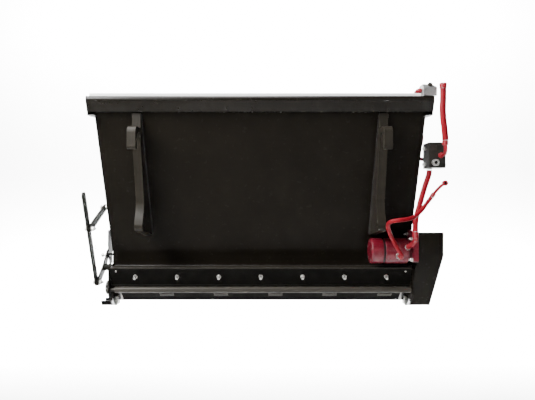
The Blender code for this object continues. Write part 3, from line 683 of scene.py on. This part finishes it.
def make_rotor_bearing():
    """The bearing cap outside the left end plate, with its four flange bolts."""
    shape = bmesh.new()
    stack(shape, stand(ROTOR + LEFT * END_PLATE_FACE, LEFT),
          [(0.0128, 0.0), (0.0440, 0.0), (0.0450, 0.0010), (0.0450, 0.0065), (0.0430, 0.0080),
           (0.0368, 0.0085), (0.0355, 0.0105), (0.0355, 0.0350), (0.0340, 0.0388), (0.0305, 0.0410),
           (0.0120, 0.0410), (0.0105, 0.0400), (0.0040, 0.0400)], sides=64)
    piece("rotor_bearing_cap", shape, satin_lightened_black, "hopper", ("left_bearing",))

    flange_top, bolt_circle = 0.0080, 0.0402
    shape = bmesh.new()
    for quarter in range(4):
        angle = math.pi / 4 + QUARTER * quarter
        place = ROTOR + Vector((-END_PLATE_FACE - flange_top, bolt_circle * math.cos(angle),
                                bolt_circle * math.sin(angle)))
        nut(shape, stand(place, LEFT, quarter * 0.7), 0.0075, 0.0003, 0.0045)
    piece("bearing_cap_bolts", shape, zinc)


make_wiper_fasteners()
make_ledge_screws()
make_casing_screws()
make_rim_gussets()
make_cover_seal()
make_welds()
make_flap_tabs()
make_flap_adjusters()
make_rotor_bearing()


# ---------------------------------------------------------------- gate linkage
def make_pivot_bolt(name, centre, body):
    """A bolt through two linkage plates, with washers, head, nut and thread end."""
    shape = bmesh.new()
    matrix = stand((0, *centre), LEFT, 0.3)
    nut(shape, matrix, 0.0188, 0.7903, 0.7980)
    disc(shape, matrix, 0.0122, 0.7878, 0.7901)
    disc(shape, matrix, 0.0060, 0.7700, 0.7905, sides=28)
    nut(shape, matrix, 0.0190, 0.7575, 0.7680)
    disc(shape, matrix, 0.0122, 0.7682, 0.7704)
    threaded(shape, stand((-1.5075, *centre), RIGHT), 0.0060, 0.7470, 0.7575)
    piece(name + "_zinc", shape, zinc, body, (name,))


def make_strap_anchor():
    shape = bmesh.new()
    matrix = stand((0, *STRAP_ANCHOR), LEFT)
    nut(shape, matrix, 0.0188, 0.7880, 0.7960)
    stack(shape, matrix, [(0.0122, 0.7796), (0.0122, 0.7818), (0.0062, 0.7818), (0.0062, 0.7890)],
          sides=36)
    stack(shape, matrix, [(0.0128, 0.7296), (0.0130, 0.7300), (0.0130, 0.7700), (0.0128, 0.7704)],
          sides=36)
    disc(shape, matrix, 0.0060, 0.7230, 0.7800, sides=28)
    nut(shape, matrix, 0.0188, 0.7142, 0.7222)
    piece("strap_anchor_zinc", shape, zinc, "hopper", ("strap_anchor_bolt",))


def make_lock_pin():
    shape = bmesh.new()
    stack(shape, stand(LOCK_PIN, LEFT),
          [(0.0030, 0.7585), (0.0042, 0.7605), (0.0042, 0.7925), (0.0092, 0.7930), (0.0100, 0.7945),
           (0.0100, 0.7995), (0.0086, 0.8030), (0.0060, 0.8040)], sides=32)
    piece("lock_pin_head", shape, zinc, "lock", ("lock_pin",))


def make_lanyard():
    """A ring on the handle bar, and the thin wire from it to the gate lever."""
    ring_radius = 0.0090
    wire("lanyard_ring", [(-0.7700, 0.1760 + ring_radius * math.cos(a), -0.4800 + ring_radius * math.sin(a))
                          for a in (math.pi * 2 * k / 12 for k in range(12))],
         0.0009, linkage, "handle", 0.0015)
    wire("lanyard_wire", [(-0.7690, 0.1850, -0.4820), (-0.7680, 0.2300, -0.5120), (-0.7640, 0.2900, -0.5420),
                          (-0.7600, 0.3560, -0.5500)], 0.0005, linkage, "gate", 0.004)


make_pivot_bolt("lever_pivot_bolt", LEVER_PIN, "gate")
make_pivot_bolt("strap_pivot_bolt", STRAP_PIN, "handle")
make_strap_anchor()
make_lock_pin()
make_lanyard()


# ---------------------------------------------------------------- motor
def at_motor(x):
    return stand(MOTOR + RIGHT * x, LEFT)


def make_motor_cap():
    shape = bmesh.new()
    stack(shape, at_motor(0.5740),
          [(0.0560, 0), (0.0600, 0.0010), (0.0600, 0.0460), (0.0592, 0.0510), (0.0560, 0.0554),
           (0.0500, 0.0576), (0.0420, 0.0580), (0.0400, 0.0572), (0.0120, 0.0572)], sides=96)
    piece("motor_end_cap_enamel", shape, maroon, "hopper", ("motor_end_cap",))


def make_motor_housing():
    """The housing, necked beside its flange, with a groove round it and two port bosses."""
    shape = bmesh.new()
    stack(shape, at_motor(FLANGE_FACE),
          [(0.0470, 0), (0.0490, 0.0015), (0.0490, 0.0105), (0.0585, 0.0132), (0.0600, 0.0150),
           (0.0600, 0.0560), (0.0590, 0.0575), (0.0590, 0.0595), (0.0600, 0.0610), (0.0600, 0.1168),
           (0.0585, 0.1188), (0.0560, 0.1190), (0.0136, 0.1190)], sides=96)
    lower_x, lower_z = LOWER_PORT
    for place, boss, direction in (((lower_x, 0.166, lower_z), 0.0165, FORWARD),
                                   ((0.6760, 0.168, -0.486), 0.0150, (0.01, -1, 0.3))):
        stack(shape, stand(place, direction),
              [(boss, -0.030), (boss, 0.0030), (boss * 0.93, 0.0046), (boss * 0.6, 0.0046)])
    piece("motor_port_housing", shape, maroon, "hopper", ("motor_housing",))


def make_motor_bolts():
    """Five low bolts in the end cap, and four studs with nuts through the flange."""
    cap_face, bolt_circle, cap_bolts = 0.5172, 0.045, 5
    shape = bmesh.new()
    for k in range(cap_bolts):
        angle = 2 * math.pi * k / cap_bolts + 0.4
        place = MOTOR + Vector((cap_face, bolt_circle * math.cos(angle), bolt_circle * math.sin(angle)))
        nut(shape, stand(place, LEFT, k), 0.0115, 0.0, 0.0015)
    piece("motor_cap_bolts", shape, zinc)

    shape = bmesh.new()
    for k, (y, z) in enumerate(((0.1600, -0.4400), (0.1555, -0.5360), (0.2400, -0.4240), (0.2800, -0.5340))):
        matrix = stand((FLANGE_FACE, y, z), LEFT, 0.4 + k)
        nut(shape, matrix, 0.0150, 0.0027, 0.0110, washer=0.0098)
        threaded(shape, matrix, 0.0048, 0.0108, 0.0190)
    piece("motor_flange_bolts", shape, zinc)


make_motor_cap()
make_motor_housing()
make_motor_bolts()


# ---------------------------------------------------------------- valve block and flow valve
def make_block_port():
    """The silver port in the block's face, and a near-black disc down its bore as painted shadow."""
    matrix = stand(BLOCK_PORT, FORWARD)
    shape = bmesh.new()
    disc(shape, matrix, 0.0150, 0, 0.0040, sides=48)
    stack(shape, matrix,
          [(0.0142, 0.0040), (0.0150, 0.0052), (0.0150, 0.0178), (0.0136, 0.0196), (0.0096, 0.0200),
           (0.0078, 0.0196), (0.0070, 0.0150)], sides=48)
    piece("block_port_zinc", shape, zinc, "hopper", ("block_port",))

    # A near-black disc inside the port's bore: painted shadow.
    shape = bmesh.new()
    disc(shape, matrix, 0.0068, 0.0152, 0.0158, sides=32)
    piece("block_port_bore_shadow", shape, bore_shadow_paint)


def make_block_bolts():
    """Two plugs on the block's left side, and four socket screws on its right."""
    shape = bmesh.new()
    for z in (-0.030, -0.100):
        matrix = stand((0.7452, 0.0880, z), LEFT)
        disc(shape, matrix, 0.0055, 0.0, 0.0160, sides=24)
        nut(shape, matrix, 0.0165, 0.0020, 0.0100)
    for y in (0.060, 0.110):
        for z in (-0.020, -0.104):
            stack(shape, stand((0.8180, y, z), RIGHT),
                  [(0.0062, 0.0001), (0.0066, 0.0008), (0.0066, 0.0050), (0.0058, 0.0060), (0.0032, 0.0060),
                   (0.0030, 0.0030)], sides=32)
    piece("block_bolts", shape, zinc)


def make_block_ribs():
    rib_step, rib_height = 0.0066, 0.0030
    shape = bmesh.new()
    for i in range(4):
        low = -0.0200 - i * rib_step
        box(shape, (0.7475, 0.0400, low), (0.7775, 0.0409, low + rib_height))
    piece("block_label_ribs", shape, block_paint, bevel=0.0003)


def make_flow_knob():
    """The adjusting knob, with knurling between its two rounded edges."""
    matrix = stand(FLOW_KNOB, (0, -1, 1))
    sides, grip, knurl_depth = 48, 0.0098, 0.0009
    profile = [(0.0090, 0.0024), (grip, 0.0030), (grip, 0.0090), (0.0086, 0.0104), (0.0050, 0.0105),
               (0.0042, 0.0090)]
    shape = bmesh.new()
    disc(shape, matrix, 0.0060, 0.0, 0.0025, sides=32)
    loops = []
    for radius, height in profile:
        depth = knurl_depth if radius == grip else 0
        reaches = [radius - (depth if i % 4 < 2 else 0) for i in range(sides)]
        loops.append(ring_of(shape, matrix, height, reaches))
    skin(shape, loops)
    piece("flow_knob_knurled", shape, linkage, "knob", ("flow_valve_knob",))


def make_flow_valve_screws():
    shape = bmesh.new()
    for x in (0.7125, 0.7590):
        for z in (0.1985, 0.2210):
            stack(shape, stand((x, -0.0040, z), FORWARD),
                  [(0.0036, 0.0001), (0.0042, 0.0006), (0.0042, 0.0032), (0.0036, 0.0038), (0.0020, 0.0038),
                   (0.0018, 0.0020)], sides=28)
    piece("flow_valve_screws", shape, steel)


make_block_port()
make_block_bolts()
make_block_ribs()
make_flow_knob()
make_flow_valve_screws()


# ---------------------------------------------------------------- stage and light
def make_floor():
    """A pale floor that sweeps up into a wall behind the object."""
    half_width, front_y, back_y = 14, -9.0, 5.0
    floor_z, sweep, wall_top = -2.2, 2.5, 8.0
    profile = [(front_y, floor_z), (back_y, floor_z)]
    for i in range(1, 13):
        angle = QUARTER * i / 12
        profile.append((back_y + sweep * math.sin(angle), floor_z + sweep - sweep * math.cos(angle)))
    profile.append((back_y + sweep, wall_top))
    shape = bmesh.new()
    left = [shape.verts.new((-half_width, y, z)) for y, z in profile]
    right = [shape.verts.new((half_width, y, z)) for y, z in profile]
    for i in range(len(profile) - 1):
        shape.faces.new((left[i], right[i], right[i + 1], left[i + 1]))
    mesh = bpy.data.meshes.new("studio_floor")
    shape.to_mesh(mesh)
    shape.free()
    mesh.polygons.foreach_set("use_smooth", [True] * len(mesh.polygons))
    floor = bpy.data.objects.new("studio_floor", mesh)
    floor.data.materials.append(surface("pale_floor", (0.90, 0.90, 0.90), 0.75, specular=0.1, scale=2,
                                        spread=0.01, bump=0.0))
    bpy.context.scene.collection.objects.link(floor)


def make_world():
    world = bpy.data.worlds.new("studio")
    bpy.context.scene.world = world
    world.use_nodes = True
    background = world.node_tree.nodes["Background"]
    background.inputs["Color"].default_value = (1, 1, 1, 1)
    background.inputs["Strength"].default_value = 0.05


def lamp(name, place, aim, size, power, spread=180):
    """A soft rectangular lamp, its size given as (width, height)."""
    data = bpy.data.lights.new(name, "AREA")
    data.energy = power
    data.shape = "RECTANGLE"
    data.size, data.size_y = size
    data.spread = math.radians(spread)
    obj = bpy.data.objects.new(name, data)
    obj.location = place
    obj.rotation_euler = (Vector(aim) - Vector(place)).to_track_quat("-Z", "Y").to_euler()
    bpy.context.scene.collection.objects.link(obj)


make_floor()
make_world()
lamp("key", (-1.6, -1.3, 1.1), (-0.35, 0.1, 0.1), (0.9, 0.9), 135)
lamp("front_left", (-1.9, -3.3, 0.8), (-0.3, 0.1, -0.1), (2.2, 1.6), 50)
lamp("front_right", (1.6, -3.3, 0.2), (0.4, 0.1, -0.3), (1.6, 1.6), 10)
lamp("top", (-0.8, -0.2, 2.2), (-0.1, 0.1, 0), (2.4, 2.4), 230)
lamp("backdrop_high", (0, 4.6, 4.8), (0, 7.5, 1.0), (12.0, 1.5), 4600, spread=120)
lamp("backdrop_low", (0, 5.8, 3.0), (0, 5.4, -2.2), (12.0, 1.5), 3000, spread=72)
